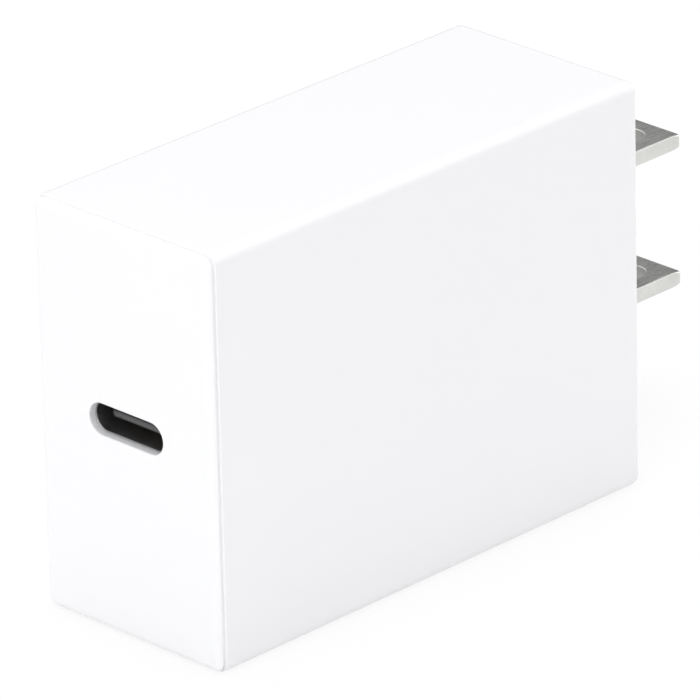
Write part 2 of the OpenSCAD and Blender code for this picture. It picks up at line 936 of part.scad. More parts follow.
module bridge_rectifier() {
  color(black_plastic)
    translate([x_core, y_board_back, z_bridge])
      rotate([0, 0, 180]) {
        package(bridge_size);
        gull_legs(bridge_size, bridge_pitch);
      }
}

module power_switch() {
  color(black_plastic)
    back_chip(x_core, z_switch, switch_size);
}

module rectifier_switch() {
  color(black_plastic)
    back_chip(x_rectifier, z_rectifier, rectifier_size);
}

module input_controller() {
  color(black_plastic)
    back_chip(x_input_chip, z_input_chip, input_chip_size);
}

// Charge controller under the port board
module port_controller() {
  color(black_plastic)
    translate([port_chip_x, 0, z_port_board])
      rotate([-90, 0, 0])
        mirror([0, 1, 0])
          package(port_chip_size);
}

// ---------- Cooling and insulation ----------

// Folded copper channel against the near side wall
module heat_spreader() {
  profile = [
    [-in_y, in_z0],
    [-in_y + spreader_flange, in_z0],
    [-in_y + spreader_flange, in_z0 + spreader_t],
    [-in_y + spreader_t, in_z0 + spreader_t],
    [-in_y + spreader_t, in_z1 - spreader_t],
    [-in_y + spreader_flange, in_z1 - spreader_t],
    [-in_y + spreader_flange, in_z1],
    [-in_y, in_z1]
  ];
  color(copper)
    along_x(x_core - spreader_l / 2, spreader_l)
      polygon(profile);
}

module thermal_pad() {
  color([0.55, 0.60, 0.70])
    box(
      [x_core - core_d / 2, y_pad, z_core - core_w / 2 + pad_margin],
      [x_core + core_d / 2, y_core_top, z_core + core_w / 2 - pad_margin]
    );
}

// Film on the far side wall, between the board rails
module insulation_sheet() {
  margin = rail_h + part_gap;
  color([0.9, 0.85, 0.6])
    box([x_board0, in_y - sheet_t, in_z0 + margin], [x_board1, in_y, in_z1 - margin]);
}

main_shell();
front_cap();
blade_holder();
upper_blade();
lower_blade();
blade_contacts();
main_board();
port_board();
port_shell();
port_tongue();
port_contacts();
transformer_core();
transformer_bobbin();
transformer_winding();
transformer_pins();
choke_core();
choke_winding();
choke_base();
bulk_capacitors();
output_capacitors();
safety_capacitor();
y_capacitor();
fuse();
thermistor();
optocoupler();
bridge_rectifier();
power_switch();
rectifier_switch();
input_controller();
port_controller();
heat_spreader();
thermal_pad();
insulation_sheet();
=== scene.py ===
"""Looks of a compact plug-in power adapter: a white moulded case, two plated blades and a USB-C outlet.

Everything is in metres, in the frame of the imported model: +Z up, the outlet at -X, the blades at +X.
Each new piece is a closed surface worked out as whole arrays of points and skinned with four-sided faces.
"""

from math import cos, pi, radians, sin

import bmesh
import bpy
import numpy as np
from mathutils import Matrix, Vector


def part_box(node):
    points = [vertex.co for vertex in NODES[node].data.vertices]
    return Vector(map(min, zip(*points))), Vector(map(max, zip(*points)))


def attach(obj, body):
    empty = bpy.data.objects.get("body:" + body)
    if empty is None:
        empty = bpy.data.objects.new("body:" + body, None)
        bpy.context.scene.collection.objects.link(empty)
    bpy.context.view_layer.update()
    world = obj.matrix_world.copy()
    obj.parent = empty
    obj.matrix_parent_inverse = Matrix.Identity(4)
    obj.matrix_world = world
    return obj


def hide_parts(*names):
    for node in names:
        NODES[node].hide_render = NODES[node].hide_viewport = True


bl_info = {
    "name": "Power adapter looks",
    "version": (1, 0, 0),
    "blender": (4, 5, 0),
    "location": "3D View > Sidebar > Adapter",
    "description": "Builds the visible surfaces, finishes and studio of a plug-in power adapter",
    "category": "Object",
}

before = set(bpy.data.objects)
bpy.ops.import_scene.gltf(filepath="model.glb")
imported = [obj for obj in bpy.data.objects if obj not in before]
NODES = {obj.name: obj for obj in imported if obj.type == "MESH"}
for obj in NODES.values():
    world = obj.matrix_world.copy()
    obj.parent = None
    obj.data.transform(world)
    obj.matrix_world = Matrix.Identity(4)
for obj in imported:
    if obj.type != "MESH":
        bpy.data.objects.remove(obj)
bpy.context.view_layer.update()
MM = 0.001

# ---------- Places read from the frame ----------

SHELL_LOW, SHELL_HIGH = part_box("main_shell")
X_SEAM, X_REAR = SHELL_LOW.x, SHELL_HIGH.x
X_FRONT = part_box("front_cap")[0].x
X_SKIRT_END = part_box("front_cap")[1].x
BODY_T = SHELL_HIGH.y - SHELL_LOW.y
BODY_H = SHELL_HIGH.z
Z_MID = BODY_H / 2
BOARD_LOW, BOARD_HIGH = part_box("main_board")
HOLDER_LOW, HOLDER_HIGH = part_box("blade_holder")
UPPER_LOW, UPPER_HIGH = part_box("upper_blade")
LOWER_LOW, LOWER_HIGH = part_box("lower_blade")
X_ROOT, X_TIP = UPPER_LOW.x, UPPER_HIGH.x
BLADE_W = UPPER_HIGH.y - UPPER_LOW.y
BLADE_T = UPPER_HIGH.z - UPPER_LOW.z
BLADE_Y = (UPPER_LOW.y + UPPER_HIGH.y) / 2
BLADE_Z = (UPPER_LOW.z + LOWER_HIGH.z) / 2
TUBE_LOW, TUBE_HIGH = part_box("port_shell")
TONGUE_LOW, TONGUE_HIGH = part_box("port_tongue")
PORT_BOARD_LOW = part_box("port_board")[0]
Z_PORT = (TONGUE_LOW.z + TONGUE_HIGH.z) / 2

# ---------- Surfaces ----------

# Steps round a corner, along a level side, and along an upright side on each hand of its split
ARC = 8
FLAT = 36
UPRIGHT = 40
# Points in a whole row, and where its two splits lie
COLUMNS = 4 * (ARC + 1) + 2 * (FLAT - 1) + 2 * (2 * UPRIGHT - 1)
LEFT_SPLIT = 2 * (ARC + 1) + FLAT - 1 + UPRIGHT - 1
RIGHT_SPLIT = COLUMNS - UPRIGHT
# Signs of a rectangle's corners, anticlockwise from the first quarter
QUARTERS = np.array([[1, 1], [-1, 1], [-1, -1], [1, -1]])
# Points in a dense outline and round a pin, and steps along the line that cuts the rear wall in two
FINE = 720
PIN_POINTS = 32
CUT_STEPS = 24
# Steps round a quarter circle: a crisp edge, a soft edge and the tongue's edge; and round the tube's rim
CRISP = 3
SOFT = 5
TONGUE_EDGE = 6
RIM = 8
# Steps round a bar's edge, and its largest rounding as a share of half its thickness
BAR_STEPS = 4
BAR_ROUNDEST = 0.98
# Points nearer than this are one point, and edges that turn by more than this stay sharp
MERGE = 0.001 * MM
SHARP = radians(32)


def bend(steps, end=pi / 2):
    """Even angles from nought to a quarter turn, or to another end."""
    return np.linspace(0, end, steps + 1)


def frame_loop(half_w, half_h, radii, mid=(0.0, 0.0), split=None):
    """One closed row of points round a rectangle with rounded corners, anticlockwise from the +w side.

    A corner is a quarter circle, its centre plus the radius times (cos, sin); a side is the straight line
    between two corners. Both upright sides have a point at the height `split`, so that two halves of a
    wall can meet there."""
    radii = np.broadcast_to(radii, 4)
    centres = np.array(mid) + QUARTERS * (np.array([half_w, half_h]) - radii[:, None])
    turn = (np.arange(4)[:, None] + np.linspace(0, 1, ARC + 1)) * pi / 2
    arcs = centres[:, None] + radii[:, None, None] * np.stack([np.cos(turn), np.sin(turn)], -1)
    split = mid[1] if split is None else split
    rows = []
    for k in range(4):
        start, end = arcs[k, -1], arcs[(k + 1) % 4, 0]
        if k in (0, 2):
            share = np.linspace(0, 1, FLAT + 1)
        else:
            cut = (split - start[1]) / (end[1] - start[1])
            share = np.concatenate([np.linspace(0, cut, UPRIGHT + 1), np.linspace(cut, 1, UPRIGHT + 1)[1:]])
        rows += [arcs[k], start + share[1:-1, None] * (end - start)]
    return np.concatenate(rows)


def stadium(width, height, mid=(0.0, 0.0)):
    """Dense outline of a slot with full-round ends: two half circles joined by two straight lines."""
    turn = np.linspace(0, 2 * pi, FINE, endpoint=False)
    reach = (width - height) / 2
    side = np.where(np.cos(turn) >= 0, 1, -1)
    ends = np.stack([side * reach + height / 2 * np.cos(turn), height / 2 * np.sin(turn)], -1)
    line = np.linspace(-reach, reach, FINE // 4)
    top = np.stack([line, np.full_like(line, height / 2)], -1)
    return np.array(mid) + np.concatenate([ends, top, -top])


def cast(outline, centre, towards):
    """Points of an outline seen from its centre in the directions of other points.

    The outline's distance from the centre is interpolated over the angle, so the result has one point for
    each point of `towards`, on the ray from the centre to it."""
    centre = np.array(centre)
    away = outline - centre
    angle = np.arctan2(away[:, 1], away[:, 0])
    order = np.argsort(angle)
    ray = np.array(towards) - centre
    turn = np.arctan2(ray[:, 1], ray[:, 0])
    reach = np.interp(turn, angle[order], np.hypot(away[:, 0], away[:, 1])[order], period=2 * pi)
    return centre + reach[:, None] * np.stack([np.cos(turn), np.sin(turn)], -1)


def along_x(x, outline):
    """A row of points with the same x, from an outline in y and z."""
    return np.column_stack([np.full(len(outline), x), outline])


def along_z(z, outline):
    """A row of points with the same z, from an outline in x and y."""
    return np.column_stack([outline, np.full(len(outline), z)])


def port_ring(x, width, height, towards):
    """A slot-shaped row of points round the outlet's axis, one in the direction of each of `towards`."""
    centre = (0.0, Z_PORT)
    return along_x(x, cast(stadium(width, height, centre), centre, towards))


def skin(rows, wrap_rows=False, wrap_columns=True, keep=None):
    """Points and four-sided faces of a grid: each face joins a point, its neighbours and the one across.

    A wrapped grid joins its last row or column to its first, and `keep` marks the faces that are made."""
    points = np.stack(rows)
    count, columns = points.shape[:2]
    i = np.arange(count if wrap_rows else count - 1)[:, None]
    j = np.arange(columns if wrap_columns else columns - 1)[None, :]
    next_i, next_j = (i + 1) % count, (j + 1) % columns
    near, far = i * columns, next_i * columns
    faces = np.stack([near + j, near + next_j, far + next_j, far + j], -1)
    faces = faces[keep] if keep is not None else faces.reshape(-1, 4)
    return points.reshape(-1, 3), faces


def rounded_bar(low, high, radius):
    """Closed block with rounded edges: the grid of a sphere, pulled apart into a box.

    A unit sphere's point n, given by two angles, goes to corner(sign of n) + radius * n, so each eighth of
    the sphere rounds one corner and the gaps between the eighths become the flat sides."""
    low, high = np.array(low), np.array(high)
    quarter = bend(BAR_STEPS)
    around = np.concatenate([quarter + k * pi / 2 for k in range(4)])
    upward = np.concatenate([quarter - pi / 2, quarter])
    side = np.repeat(QUARTERS, BAR_STEPS + 1, axis=0)
    level = np.repeat([-1, 1], BAR_STEPS + 1)
    radius = min(radius, *((high - low) / 2 * BAR_ROUNDEST))
    core = (high - low) / 2 - radius
    flat = np.cos(upward)[:, None]
    x = side[None, :, 0] * core[0] + radius * flat * np.cos(around)
    y = side[None, :, 1] * core[1] + radius * flat * np.sin(around)
    z = np.broadcast_to((level * core[2] + radius * np.sin(upward))[:, None], x.shape)
    middle = (low + high) / 2
    rows = list(np.stack([x, y, z], -1) + middle)
    bottom, top = rows[0], rows[-1]
    cap_low = np.broadcast_to([middle[0], middle[1], low[2]], bottom.shape)
    cap_high = np.broadcast_to([middle[0], middle[1], high[2]], top.shape)
    return skin([cap_low, *rows, cap_high])


def make_piece(name, patches, finish, stands_for):
    """One mesh from patches of points and faces, which rides on the body and stands for solids.

    Equal points are merged, so that seams and poles close, faces are turned outwards, and edges sharper
    than a fixed angle are kept."""
    starts = np.cumsum([0] + [len(points) for points, _ in patches[:-1]])
    points = np.concatenate([points for points, _ in patches])
    faces = np.concatenate([faces + start for (_, faces), start in zip(patches, starts)])
    mesh = bpy.data.meshes.new(name)
    mesh.from_pydata(points.tolist(), [], faces.tolist())
    work = bmesh.new()
    work.from_mesh(mesh)
    bmesh.ops.remove_doubles(work, verts=work.verts, dist=MERGE)
    bmesh.ops.dissolve_degenerate(work, edges=work.edges, dist=MERGE / 10)
    bmesh.ops.recalc_face_normals(work, faces=work.faces)
    work.to_mesh(mesh)
    work.free()
    mesh.shade_smooth()
    mesh.set_sharp_from_angle(angle=SHARP)
    mesh.materials.append(finish)
    piece = bpy.data.objects.new(name, mesh)
    bpy.context.scene.collection.objects.link(piece)
    even = piece.modifiers.new("even_shading", "WEIGHTED_NORMAL")
    even.keep_sharp = True
    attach(piece, "root")
    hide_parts(*stands_for)


# ---------- Finishes ----------


class Finish:
    """A material under construction: makes nodes, joins them, and keeps the shader at hand."""

    def __init__(self, name):
        self.material = bpy.data.materials.new(name)
        self.material.use_nodes = True
        self.tree = self.material.node_tree
        self.shader = next(n for n in self.tree.nodes if n.type == "BSDF_PRINCIPLED")

    def node(self, kind, inputs=None, **settings):
        """A new node with its own settings, and its inputs fed by name or by number."""
        made = self.tree.nodes.new(kind)
        for key, value in settings.items():
            setattr(made, key, value)
        for key, value in (inputs or {}).items():
            self.feed(made.inputs[key], value)
        return made

    def feed(self, socket, value):
        """A socket joined to another node's socket, or set to a plain value."""
        if isinstance(value, bpy.types.NodeSocket):
            self.tree.links.new(value, socket)
        else:
            socket.default_value = value

    def set(self, **inputs):
        """The shader's own sockets, named with underscores for spaces."""
        for key, value in inputs.items():
            self.feed(self.shader.inputs[key.replace("_", " ")], value)

    def place(self, stretch=(1.0, 1.0, 1.0)):
        """The piece's own coordinates, squeezed or stretched along its axes."""
        where = self.node("ShaderNodeTexCoord").outputs["Object"]
        return self.node("ShaderNodeMapping", {"Vector": where, "Scale": stretch}).outputs["Vector"]

    def noise(self, scale, detail=3.0, stretch=(1.0, 1.0, 1.0)):
        """Noise with so many features a metre, and finer ones in it to a number of octaves."""
        inputs = {"Vector": self.place(stretch), "Scale": scale, "Detail": detail}
        return self.node("ShaderNodeTexNoise", inputs).outputs["Fac"]

    def span(self, value, low, high, from_low=0.3, from_high=0.7):
        """A value spread between two limits; noise mostly lies between 0.3 and 0.7."""
        made = self.node(
            "ShaderNodeMapRange",
            {"Value": value, "From Min": from_low, "From Max": from_high, "To Min": low, "To Max": high},
        )
        return made.outputs["Result"]

    def blend(self, share, first, second):
        """Two colours mixed by a share; a colour is three numbers or another node's socket."""
        made = self.node("ShaderNodeMix", data_type="RGBA")
        sockets = {socket.identifier: socket for socket in made.inputs}
        self.feed(sockets["Factor_Float"], share)
        for key, value in (("A_Color", first), ("B_Color", second)):
            self.feed(sockets[key], (*value, 1.0) if isinstance(value, tuple) else value)
        return next(socket for socket in made.outputs if socket.identifier == "Result_Color")

    def bump(self, height, strength, distance):
        """Relief on the skin, as deep as the distance in metres where the height is one."""
        made = self.node("ShaderNodeBump", {"Height": height, "Strength": strength, "Distance": distance})
        self.feed(self.shader.inputs["Normal"], made.outputs["Normal"])


def shade(colour, factor):
    """A colour made lighter or darker."""
    return tuple(min(1.0, part * factor) for part in colour)


def dress(names, finish):
    """Gives carried-over nodes a finish by their material slots."""
    for name in names:
        for slot in NODES[name].material_slots:
            slot.material = finish


def moulded_plastic(name, colour, gloss, grain=0.6 * MM):
    """Moulded plastic: faint drifts of tone from the flow, and an orange-peel skin a few microns deep."""
    flow_scale, sheen_scale = 60, 700
    tone_drift, sheen_drift = 0.005, 0.01
    gentle = {"from_low": 0.1, "from_high": 0.9}
    finish = Finish(name)
    flow = finish.span(finish.noise(flow_scale, 1.0), 0.0, 1.0, **gentle)
    finish.set(Base_Color=finish.blend(flow, shade(colour, 1 - tone_drift), shade(colour, 1 + tone_drift)))
    sheen = finish.noise(sheen_scale, 3.0)
    finish.set(Roughness=finish.span(sheen, gloss - sheen_drift, gloss + sheen_drift, **gentle))
    finish.set(IOR=1.5)
    finish.bump(finish.noise(1 / grain, 2.0), strength=0.03, distance=0.008 * MM)
    return finish.material


def rolled_metal(name, colour, gloss, along=(0.06, 1.0, 1.0), shaded_hole=None):
    """Plated sheet metal: fine rolling lines along the strip, cloudy tone and duller patches.

    The last argument gives the middle and the radius of a hole along Z. Its wall is painted darker as shade
    in the hole, and is duller like a sheared wall."""
    cloud_scale, line_scale = 420, 9000
    cloudy_tone, bright_tone, smoother, rougher = 0.91, 1.05, 0.07, 0.1
    # The hole's wall: a darker colour painted as shade in the hole, the rougher finish of a sheared wall, and
    # the width over which both fade in
    hole_painted_shade, sheared_gloss, sheared_edge = 0.72, 0.6, 0.1 * MM
    finish = Finish(name)
    cloud = finish.span(finish.noise(cloud_scale, 4.0), 0.0, 1.0)
    tone = finish.blend(cloud, shade(colour, cloudy_tone), shade(colour, bright_tone))
    lines = finish.noise(line_scale, 3.0, stretch=along)
    roughness = finish.span(lines, gloss - smoother, gloss + rougher)
    if shaded_hole:
        middle, radius = shaded_hole
        level = finish.place((1.0, 1.0, 0.0))
        reach = finish.node("ShaderNodeVectorMath", {0: level, 1: middle}, operation="DISTANCE")
        # Mask of the hole's wall: its colour is darkened as painted shade, and its roughness is raised as on
        # a sheared wall
        wall = finish.span(reach.outputs["Value"], 1.0, 0.0, radius, radius + sheared_edge)
        tone = finish.blend(wall, tone, shade(colour, hole_painted_shade))
        roughness = finish.span(wall, roughness, sheared_gloss, 0.0, 1.0)
    finish.set(Base_Color=tone, Metallic=1.0, Roughness=roughness)
    finish.bump(lines, strength=0.1, distance=0.01 * MM)
    return finish.material


def wound_wire(name, colour, gloss, pitch, axis):
    """Enamelled or taped turns: round ridges one pitch apart along an axis, with painted shade in the grooves
    and a painted highlight on the crests.
    """
    # The grooves' darker colour is painted shade, and the crests' lighter colour is a painted highlight; both
    # follow the ridges' bump
    groove_painted_shade, crest_painted_highlight = 0.55, 1.08
    finish = Finish(name)
    place = finish.node("ShaderNodeSeparateXYZ", {"Vector": finish.place()})
    turns = finish.node("ShaderNodeMath", {0: place.outputs[axis], 1: 2 * pi / pitch}, operation="MULTIPLY")
    ridge = finish.node("ShaderNodeMath", {0: turns.outputs[0]}, operation="SINE").outputs[0]
    tone = finish.span(ridge, 0.0, 1.0, -1.0, 1.0)
    finish.set(Base_Color=finish.blend(tone, shade(colour, groove_painted_shade), shade(colour, crest_painted_highlight)))
    finish.set(Roughness=gloss)
    finish.bump(tone, strength=0.5, distance=pitch / 3)
    return finish.material


def circuit_laminate(name, colour):
    """Solder mask on laminate: square cells of bare board, with raised, darker tracks between them."""
    cell_scale, sheen_scale = 520, 900
    bare_tone, track_tone, smooth, rough = 1.35, 0.8, 0.28, 0.42
    cell_edge = {"from_low": 0.30, "from_high": 0.36}
    finish = Finish(name)
    layout = {"Vector": finish.place(), "Scale": cell_scale, "Randomness": 0.6}
    cells = finish.node("ShaderNodeTexVoronoi", layout, distance="CHEBYCHEV")
    track = finish.span(cells.outputs["Distance"], 0.0, 1.0, **cell_edge)
    finish.set(Base_Color=finish.blend(track, shade(colour, bare_tone), shade(colour, track_tone)))
    finish.set(Roughness=finish.span(finish.noise(sheen_scale, 2.0), smooth, rough))
    finish.set(Coat_Weight=0.3)
    finish.bump(track, strength=0.15, distance=0.03 * MM)
    return finish.material


def speckled(name, colour, gloss, grain, contrast=0.25, metallic=0.0, depth=0.2):
    """A grained surface, such as ferrite, a dipped coat or a drawn can: small specks of tone and height."""
    smoother, rougher = 0.06, 0.08
    finish = Finish(name)
    specks = finish.noise(1 / grain, 4.0)
    tone = finish.span(specks, 0.0, 1.0)
    finish.set(Base_Color=finish.blend(tone, shade(colour, 1 - contrast), shade(colour, 1 + contrast)))
    finish.set(Roughness=finish.span(specks, gloss - smoother, gloss + rougher))
    finish.set(Metallic=metallic)
    finish.bump(specks, strength=depth, distance=grain / 20)
    return finish.material


# ---------- Sizes and colours a user may change ----------


def length_setting(name, description, millimetres, low=0.0, high=100.0):
    """A length property, typed in millimetres and kept in metres."""
    return bpy.props.FloatProperty(
        name=name,
        description=description,
        default=millimetres * MM,
        min=low * MM,
        max=high * MM,
        unit="LENGTH",
        precision=5,
    )


def colour_setting(name, description, red, green, blue):
    """A linear colour property."""
    return bpy.props.FloatVectorProperty(
        name=name,
        description=description,
        default=(red, green, blue),
        min=0,
        max=1,
        size=3,
        subtype="COLOR",
    )


def number_setting(name, description, default, low=0.0, high=1.0):
    """A plain number between two limits."""
    return bpy.props.FloatProperty(name=name, description=description, default=default, min=low, max=high)


class HousingSettings(bpy.types.PropertyGroup):
    """Moulded shell and front cap."""

    edge_radius: length_setting("Edge radius", "Rounding of the outer edges", 0.9, 0.4, 1.2)
    wall: length_setting("Wall", "Thickness of the shell's walls", 1.8, 1.5, 2.0)
    flange: length_setting("Flange", "Thickness of the cap's visible flange", 0.4, 0.3, 0.9)
    groove_depth: length_setting("Groove depth", "Depth of the parting groove", 0.22, 0.16, 0.6)
    plate: length_setting("Cap plate", "Thickness of the cap's face plate", 1.6, 1.5, 2.2)
    skirt: length_setting("Skirt", "Thickness of the cap's skirt", 1.2, 0.9, 1.5)
    skirt_gap: length_setting("Skirt gap", "Gap between skirt and shell", 0.1, 0.05, 0.2)
    snap_height: length_setting("Snap height", "Height of the snap ridges", 0.35, 0.2, 0.6)
    mouth_width: length_setting("Mouth width", "Width of the outlet's mouth", 8.5, 8.5, 8.8)
    mouth_height: length_setting("Mouth height", "Height of the outlet's mouth", 2.8, 2.7, 3.05)
    mouth_round: length_setting("Mouth rounding", "Rounding of the mouth's front edge", 0.12, 0.02, 0.3)
    lip: length_setting("Lip", "Thickness of the lip in front of the receptacle", 0.7, 0.5, 1.0)
    crisp: length_setting(
        "Moulded corner", "Rounding of the crisp edges at the seam and the slots", 0.1, 0.02, 0.14
    )
    slot_gap: length_setting("Slot gap", "Gap between a blade and its slot", 0.15, 0.05, 0.3)
    plastic: colour_setting("Plastic", "Colour of the moulded case", 0.905, 0.905, 0.922)
    gloss: number_setting("Roughness", "Roughness of the case's skin", 0.26)


class PlugSettings(bpy.types.PropertyGroup):
    """Two plated blades."""

    edge: length_setting("Edge rounding", "Rounding of the blades' long edges", 0.18, 0.05, 0.4)
    tip_corner: length_setting("Tip corner", "Radius of a blade's tip corners", 0.4, 0.2, 1.5)
    tip_bevel: length_setting("Tip bevel", "Length of the bevel at the tip", 0.9, 0.5, 1.5)
    tip_drop: length_setting("Tip drop", "Height that the bevel takes off each face", 0.15, 0.1, 0.5)
    hole: length_setting("Hole", "Diameter of the hole near the tip", 3.2, 2.8, 3.5)
    hole_to_tip: length_setting("Hole to tip", "Distance from the tip to the hole's middle", 3.5, 3.0, 5.0)
    hole_chamfer: length_setting("Hole chamfer", "Chamfer round the hole", 0.08, 0.0, 0.3)
    lock_hole: length_setting("Locking hole", "Diameter of the hole in the moulded-in root", 2.4, 1.0, 3.0)
    metal: colour_setting("Metal", "Colour of the nickel plating", 0.70, 0.70, 0.68)
    gloss: number_setting("Roughness", "Roughness of the plating", 0.3)


class OutletSettings(bpy.types.PropertyGroup):
    """Receptacle: steel tube, tongue and contacts."""

    tube_wall: length_setting("Tube wall", "Thickness of the steel tube", 0.3, 0.2, 0.35)
    leg: length_setting("Leg width", "Width of the tube's solder legs", 1.1, 0.8, 1.5)
    tongue_thickness: length_setting("Tongue thickness", "Thickness of the contact tongue", 0.7, 0.6, 0.8)
    tongue_width: length_setting("Tongue width", "Width of the contact tongue", 6.69, 6.5, 6.8)
    nose: length_setting("Nose radius", "Radius of the tongue's front corners", 0.6, 0.2, 1.0)
    nose_edge: length_setting("Nose edge", "Rounding of the tongue's front edge", 0.3, 0.05, 0.34)
    steel: colour_setting("Steel", "Colour of the plated steel tube", 0.3, 0.3, 0.305)
    insulator: colour_setting("Insulator", "Colour of the moulded tongue", 0.085, 0.085, 0.088)
    gold: colour_setting("Gold", "Colour of the contacts", 0.83, 0.62, 0.28)


class InsideSettings(bpy.types.PropertyGroup):
    """Finishes of the parts on the boards."""

    mask: colour_setting("Solder mask", "Colour of the circuit boards", 0.03, 0.18, 0.08)
    copper: colour_setting("Copper", "Colour of copper and enamelled wire", 0.72, 0.33, 0.16)
    tape: colour_setting("Tape", "Colour of the transformer's tape", 0.82, 0.60, 0.08)
    wire_pitch: length_setting("Wire pitch", "Distance between turns of wire", 0.45, 0.1, 1.0)


class StageSettings(bpy.types.PropertyGroup):
    """Camera, lamps and floor."""

    azimuth: number_setting(
        "Azimuth", "Camera's turn from the outlet face towards the big side face, degrees", 44.984, 0, 90
    )
    elevation: number_setting("Elevation", "Camera's height above the horizon, degrees", 23.882, -90, 90)
    roll: number_setting("Roll", "Camera's roll, degrees", -1.318, -10, 10)
    distance: length_setting("Distance", "Camera's distance from the aim point", 731.8, 100, 5000)
    lens: number_setting("Lens", "Focal length for a 36 mm sensor, millimetres", 451.06, 10, 2000)
    aim_side: length_setting(
        "Aim side", "Aim point's shift along the picture's width from under the body", 0.137, -50, 50
    )
    aim_up: length_setting(
        "Aim up", "Aim point's shift up the picture from under the body", 16.109, -50, 50
    )
    ambient: number_setting("Ambient", "Strength of the even light from all round", 0.6, 0, 2)
    key: number_setting("Key lamp", "Power of the lamp on the outlet's side, watts", 1.58, 0, 100)
    fill: number_setting("Fill lamp", "Power of the lamp on the big face's side, watts", 0.39, 0, 100)
    top: number_setting("Top lamp", "Power of the lamp overhead, watts", 2.5, 0, 100)
    rim: number_setting("Rim lamp", "Power of the lamp on the plug's side, watts", 1.3, 0, 100)
    card: number_setting("Card", "Brightness of the grey card that the blades reflect", 0.27)
    floor: colour_setting("Floor", "Colour of the floor", 0.93, 0.93, 0.93)
    shadow: number_setting("Shadow", "How much of the floor's own shading the camera sees", 0.15)


# ---------- Case ----------

# How far the middle of the snap ridges stands from the skirt's end, and half their lengths
SNAP_FROM_END = 1.0 * MM
SNAP_LEVEL_REACH = 4.0 * MM
SNAP_UPRIGHT_REACH = 7.0 * MM
# How deep a rail, peg or shelf is sunk into its wall, and the rounding of its edges
SINK = 0.1 * MM
BAR_EDGE = 0.15 * MM
# Rings of points between the mouth and the face's edge, as shares of the way
FACE_RINGS = (0.03, 0.5)


def pin(x0, x1, y, z, radius, chamfer):
    """Round pin along X: circles joined from end to end, narrowed at the free end and closed at both."""
    turn = np.linspace(0, 2 * pi, PIN_POINTS, endpoint=False)
    ring = np.stack([np.cos(turn), np.sin(turn)], -1)
    middle = np.array([y, z])
    rows = [(x0, 0.0), (x0, radius - chamfer), (x0 + chamfer, radius), (x1, radius), (x1, 0.0)]
    return skin([along_x(x, middle + r * ring) for x, r in rows])


def snapped(outline, half_w, half_h, depth):
    """An outline of the wall with its middle stretches pushed out, where the snap ridges sit."""
    y, z = outline[:, 0], outline[:, 1] - Z_MID
    on_side = np.isclose(np.abs(y), half_w, atol=MERGE / 10) & (np.abs(z) < SNAP_UPRIGHT_REACH)
    on_top = np.isclose(np.abs(z), half_h, atol=MERGE / 10) & (np.abs(y) < SNAP_LEVEL_REACH)
    push = np.stack([np.where(on_side, np.sign(y), 0), np.where(on_top, np.sign(z), 0)], -1)
    return outline + depth * push


def half_walls(outline):
    """An outline cut at the blades' middle height into two closed loops that share the cutting line."""
    left, right = outline[LEFT_SPLIT], outline[RIGHT_SPLIT]
    line = np.linspace(0, 1, CUT_STEPS + 1)[1:-1, None]
    upper = np.arange(RIGHT_SPLIT, COLUMNS + LEFT_SPLIT + 1) % COLUMNS
    lower = np.arange(LEFT_SPLIT, RIGHT_SPLIT + 1)
    return (
        np.concatenate([outline[upper], left + line * (right - left)]),
        np.concatenate([outline[lower], right + line * (left - right)]),
    )


def rear_wall(settings, outer, inner, x_inner):
    """The wall that the blades pass through, in two halves, each a ring from the outer face's edge to a slot,
    through the slot and out again to the inner face's edge."""
    crisp, gap = settings.crisp, settings.slot_gap
    heights = (UPPER_LOW.z + BLADE_T / 2, LOWER_LOW.z + BLADE_T / 2)
    halves = []
    for height, face, back in zip(heights, half_walls(outer), half_walls(inner)):
        centre = (BLADE_Y, height)

        def slot(extra, centre=centre, face=face):
            half_w, half_h = BLADE_W / 2 + gap + extra, BLADE_T / 2 + gap + extra
            return cast(frame_loop(half_w, half_h, gap + extra, centre), centre, face)

        rows = [along_x(X_REAR, face)]
        for turn in bend(CRISP):
            rows.append(along_x(X_REAR - crisp * (1 - cos(turn)), slot(crisp * (1 - sin(turn)))))
        rows += [along_x(x_inner, slot(0)), along_x(x_inner, back)]
        halves.append(skin(rows))
    return halves


def shell_patches(settings):
    """Five-sided case: a rounded outer skin, a square-cornered cavity, the front rim and the rear wall.

    At the angle a round the rear edge, the skin stands at x = rear - r + r sin a and is drawn in by
    r (1 - cos a), and its corner radius is r cos a, so that three edges meet in an eighth of a ball."""
    r, crisp, wall = settings.edge_radius, settings.crisp, settings.wall
    half_w, half_h = BODY_T / 2, BODY_H / 2
    x_inner = X_REAR - wall

    def outer(x, inset, radius):
        return along_x(x, frame_loop(half_w - inset, half_h - inset, radius, (0, Z_MID), BLADE_Z))

    cavity = frame_loop(half_w - wall, half_h - wall, 0.0, (0, Z_MID), BLADE_Z)
    skin_rows = [along_x(X_SEAM, cavity)]
    for turn in bend(CRISP):
        inset = crisp * (1 - sin(turn))
        skin_rows.append(outer(X_SEAM + crisp * (1 - cos(turn)), inset, r - inset))
    for turn in bend(ARC):
        skin_rows.append(outer(X_REAR - r + r * sin(turn), r * (1 - cos(turn)), r * cos(turn)))
    x_snap = X_SKIRT_END - SNAP_FROM_END
    groove = snapped(cavity, half_w - wall, half_h - wall, settings.snap_height)
    inner_rows = [
        along_x(x_inner, cavity),
        along_x(x_snap + settings.snap_height, cavity),
        along_x(x_snap, groove),
        along_x(x_snap - settings.snap_height, cavity),
        along_x(X_SEAM, cavity),
    ]
    face = frame_loop(half_w - r, half_h - r, 0.0, (0, Z_MID), BLADE_Z)
    return [skin(skin_rows), skin(inner_rows), *rear_wall(settings, face, cavity, x_inner)]


